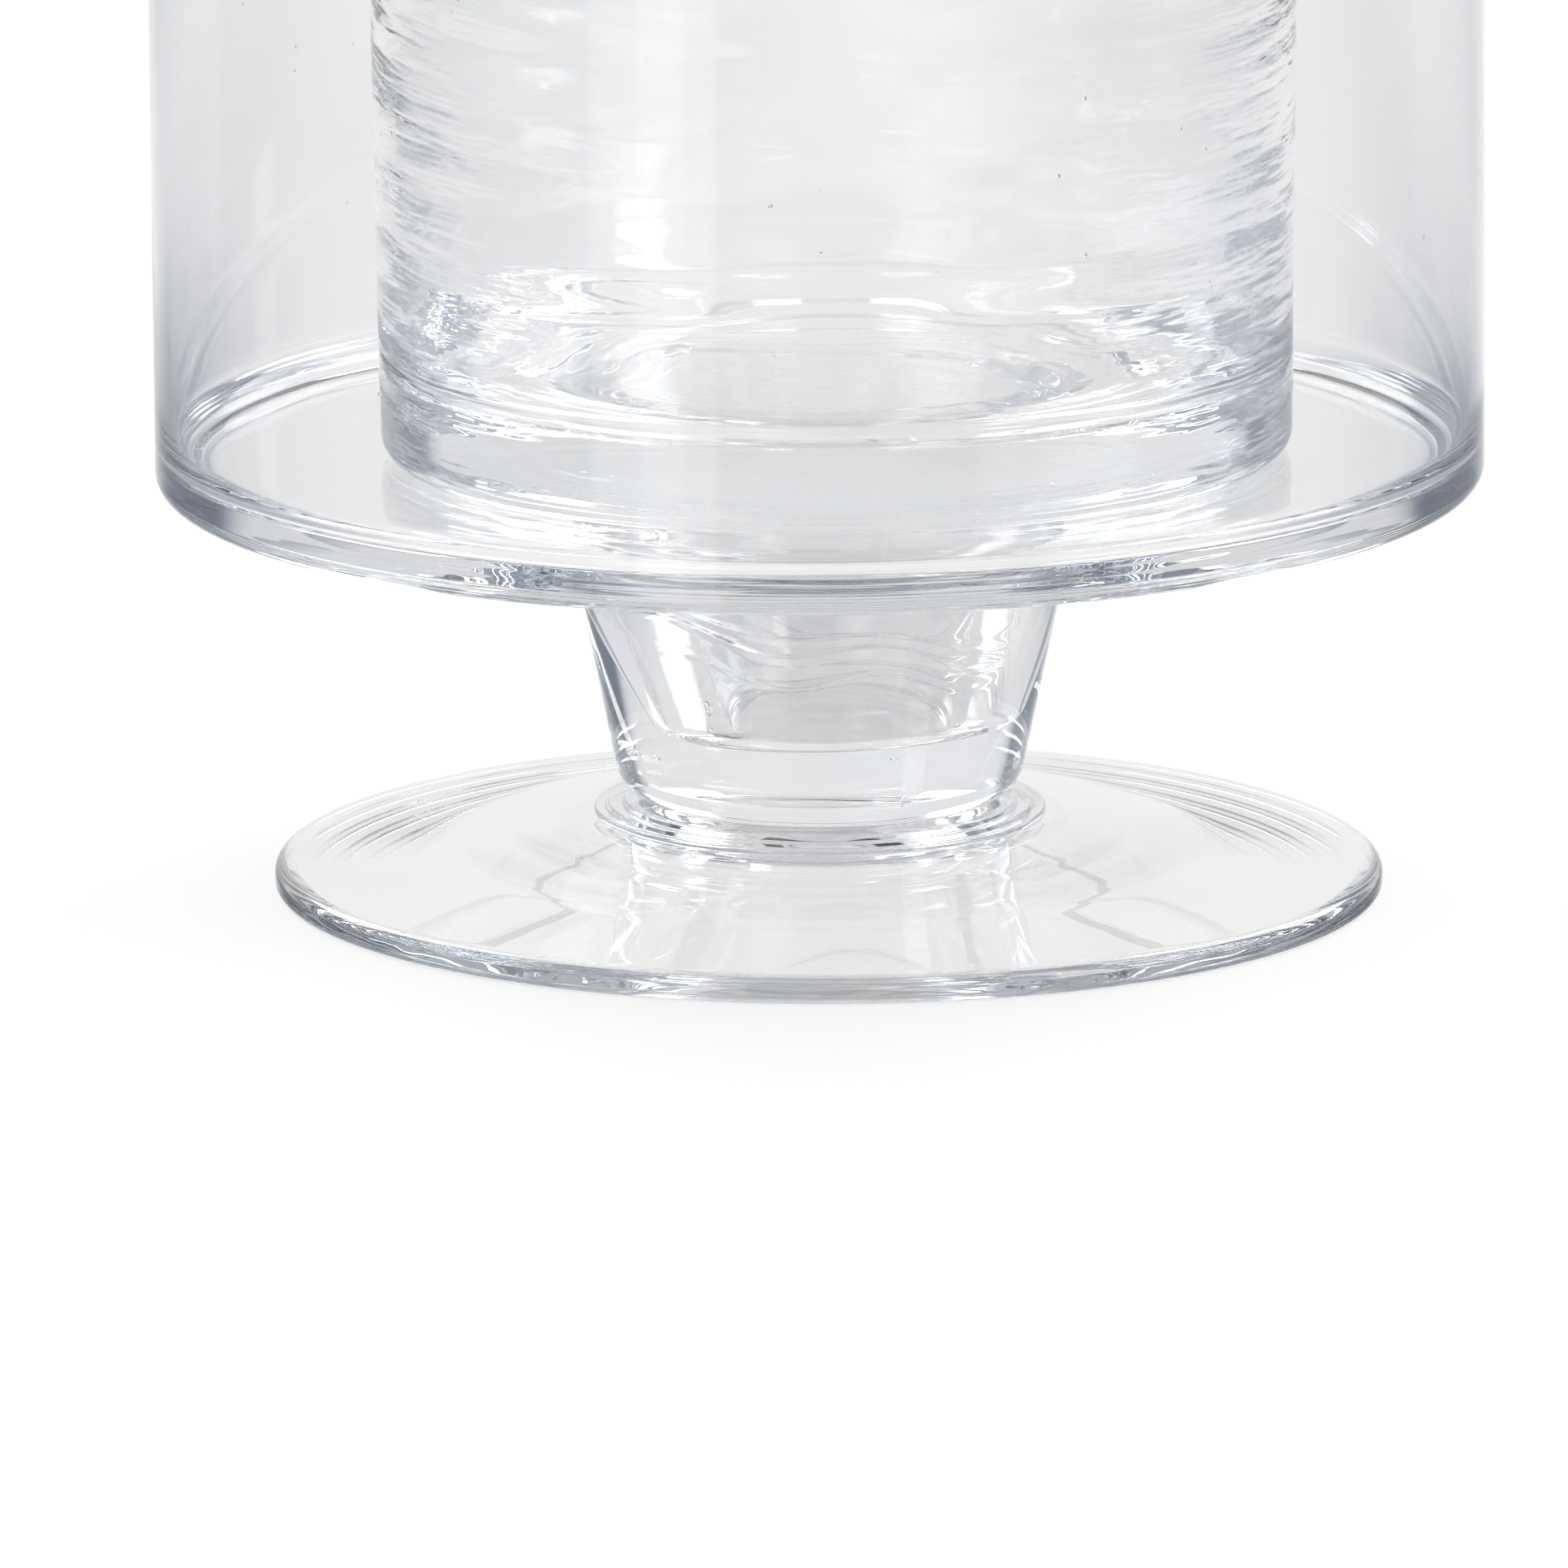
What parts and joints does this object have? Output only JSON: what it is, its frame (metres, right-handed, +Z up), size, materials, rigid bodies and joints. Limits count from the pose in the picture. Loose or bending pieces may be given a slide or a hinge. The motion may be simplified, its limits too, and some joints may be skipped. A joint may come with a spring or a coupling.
{
  "type": "hurricane candle lantern",
  "caption": "Footed clear glass hurricane lantern: a wide outer cylinder on a tapered stem and round foot, with a loose inner cylinder for the candle.",
  "frame": {"origin": "centre of the footprint, on the surface that the foot stands on", "axes": "+Z up along the axis of the foot, stem and outer cylinder; +X to the right and +Y to the back, seen from the front"},
  "size_m": [0.202, 0.202, 0.356],
  "materials": {
    "pedestal_glass": "clear hand-made glass, thick and glossy, with a faint cool tint",
    "vessel_glass": "clear thin blown glass, glossy, with faint swirl marks",
    "inner_glass": "clear thick-walled blown glass, glossy, with turning marks"
  },
  "bodies": {
    "footed_vessel": {"foot": "pedestal_glass", "wafer": "pedestal_glass", "stem": "pedestal_glass", "outer_cylinder": "vessel_glass"},
    "inner_cylinder": {"inner_cylinder": "inner_glass"}
  },
  "joints": [
    {"name": "lift_out", "type": "slide", "parent": "footed_vessel", "child": "inner_cylinder", "axis": [0, 0, 1], "range_m": [0, 0.31]}
  ]
}
